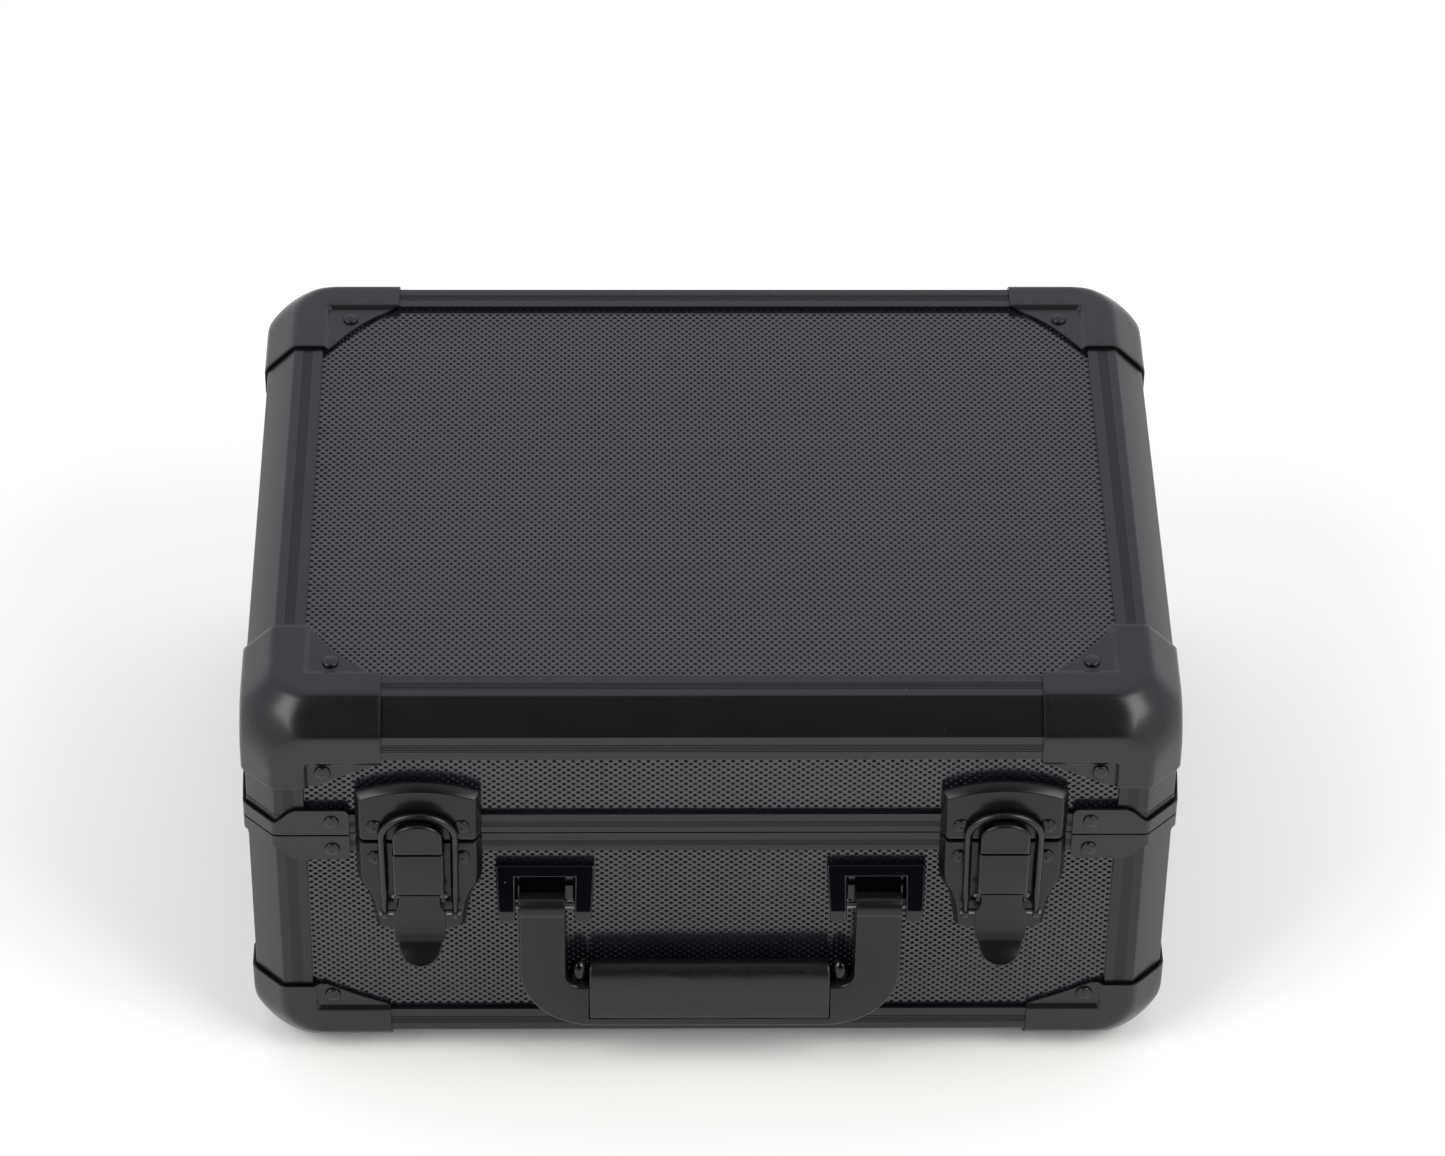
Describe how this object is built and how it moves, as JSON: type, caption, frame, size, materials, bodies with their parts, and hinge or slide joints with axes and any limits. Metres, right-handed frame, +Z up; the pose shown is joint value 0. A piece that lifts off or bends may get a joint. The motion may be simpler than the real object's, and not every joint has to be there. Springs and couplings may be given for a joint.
{
  "type": "miniature carry case",
  "caption": "Hinged carry case for miniatures: textured boards in chamfered extrusions, pressed corners, loop latches, drop handle, foam tray.",
  "frame": {"origin": "on the surface the case stands on, under the middle of the whole object", "axes": "+X to the right seen from the front, +Y from the front to the back, +Z up"},
  "size_m": [0.3036, 0.2533, 0.1524],
  "materials": {
    "black_anodised_aluminium": "satin black anodised, fine extruded grooves",
    "black_painted_steel": "satin black paint on pressed steel",
    "bright_steel": "bare drawn steel pin",
    "textured_laminate_board": "board with an embossed black plastic skin",
    "gloss_black_plastic": "glossy moulded plastic",
    "satin_black_plastic": "satin moulded plastic",
    "soft_grip_rubber": "soft satin grip",
    "charcoal_foam": "open-cell foam"
  },
  "bodies": {
    "base": {"base_back_board": "textured_laminate_board", "base_back_left_corner": "black_painted_steel", "base_back_left_corner_plate": "black_painted_steel", "base_back_right_corner": "black_painted_steel", "base_back_right_corner_plate": "black_painted_steel", "base_bottom_back_extrusion": "black_anodised_aluminium", "base_bottom_board": "textured_laminate_board", "base_bottom_front_extrusion": "black_anodised_aluminium", "base_bottom_left_extrusion": "black_anodised_aluminium", "base_bottom_right_extrusion": "black_anodised_aluminium", "base_foam_pad": "charcoal_foam", "base_front_board": "textured_laminate_board", "base_front_left_corner": "black_painted_steel", "base_front_left_corner_plate": "black_painted_steel", "base_front_right_corner": "black_painted_steel", "base_front_right_corner_plate": "black_painted_steel", "base_left_board": "textured_laminate_board", "base_right_board": "textured_laminate_board", "base_side_frame": "black_anodised_aluminium", "foam_pocket_tray": "charcoal_foam", "left_handle_bracket": "gloss_black_plastic", "left_handle_pin": "bright_steel", "left_hinge_base_leaf": "black_painted_steel", "left_latch_base_plate": "black_painted_steel", "left_latch_lever_pin": "bright_steel", "right_handle_bracket": "gloss_black_plastic", "right_handle_pin": "bright_steel", "right_hinge_base_leaf": "black_painted_steel", "right_latch_base_plate": "black_painted_steel", "right_latch_lever_pin": "bright_steel"},
    "lid": {"left_hinge_lid_leaf": "black_painted_steel", "left_latch_catch_plate": "black_painted_steel", "lid_back_board": "textured_laminate_board", "lid_back_left_corner": "black_painted_steel", "lid_back_left_corner_plate": "black_painted_steel", "lid_back_right_corner": "black_painted_steel", "lid_back_right_corner_plate": "black_painted_steel", "lid_foam": "charcoal_foam", "lid_front_board": "textured_laminate_board", "lid_front_left_corner": "black_painted_steel", "lid_front_left_corner_plate": "black_painted_steel", "lid_front_right_corner": "black_painted_steel", "lid_front_right_corner_plate": "black_painted_steel", "lid_left_board": "textured_laminate_board", "lid_right_board": "textured_laminate_board", "lid_side_frame": "black_anodised_aluminium", "lid_top_back_extrusion": "black_anodised_aluminium", "lid_top_board": "textured_laminate_board", "lid_top_front_extrusion": "black_anodised_aluminium", "lid_top_left_extrusion": "black_anodised_aluminium", "lid_top_right_extrusion": "black_anodised_aluminium", "right_hinge_lid_leaf": "black_painted_steel", "right_latch_catch_plate": "black_painted_steel"},
    "left_lever": {"left_latch_lever": "black_painted_steel"},
    "right_lever": {"right_latch_lever": "black_painted_steel"},
    "left_loop": {"left_latch_wire_loop": "black_painted_steel"},
    "right_loop": {"right_latch_wire_loop": "black_painted_steel"},
    "handle": {"handle_bow": "satin_black_plastic", "handle_grip": "soft_grip_rubber"}
  },
  "joints": [
    {"name": "lid_hinge", "type": "hinge", "parent": "base", "child": "lid", "pos_m": [0, 0.12425, 0.1004], "axis": [-1, 0, 0], "range_deg": [0, 95]},
    {"name": "handle_swing", "type": "hinge", "parent": "base", "child": "handle", "pos_m": [0, -0.11445, 0.0736], "axis": [-1, 0, 0], "range_deg": [0, 100]},
    {"name": "left_lever_swing", "type": "hinge", "parent": "base", "child": "left_lever", "pos_m": [-0.0943, -0.11595, 0.0797], "axis": [-1, 0, 0], "range_deg": [0, 100]},
    {"name": "left_loop_swing", "type": "hinge", "parent": "left_lever", "child": "left_loop", "pos_m": [-0.0943, -0.11545, 0.0717], "axis": [-1, 0, 0], "range_deg": [-92, 0]},
    {"name": "right_lever_swing", "type": "hinge", "parent": "base", "child": "right_lever", "pos_m": [0.0943, -0.11595, 0.0797], "axis": [-1, 0, 0], "range_deg": [0, 100]},
    {"name": "right_loop_swing", "type": "hinge", "parent": "right_lever", "child": "right_loop", "pos_m": [0.0943, -0.11545, 0.0717], "axis": [-1, 0, 0], "range_deg": [-92, 0]}
  ],
  "couplings": [
    {"joint": "left_loop_swing", "follows": "left_lever_swing", "ratio": -0.915},
    {"joint": "right_loop_swing", "follows": "right_lever_swing", "ratio": -0.915}
  ]
}
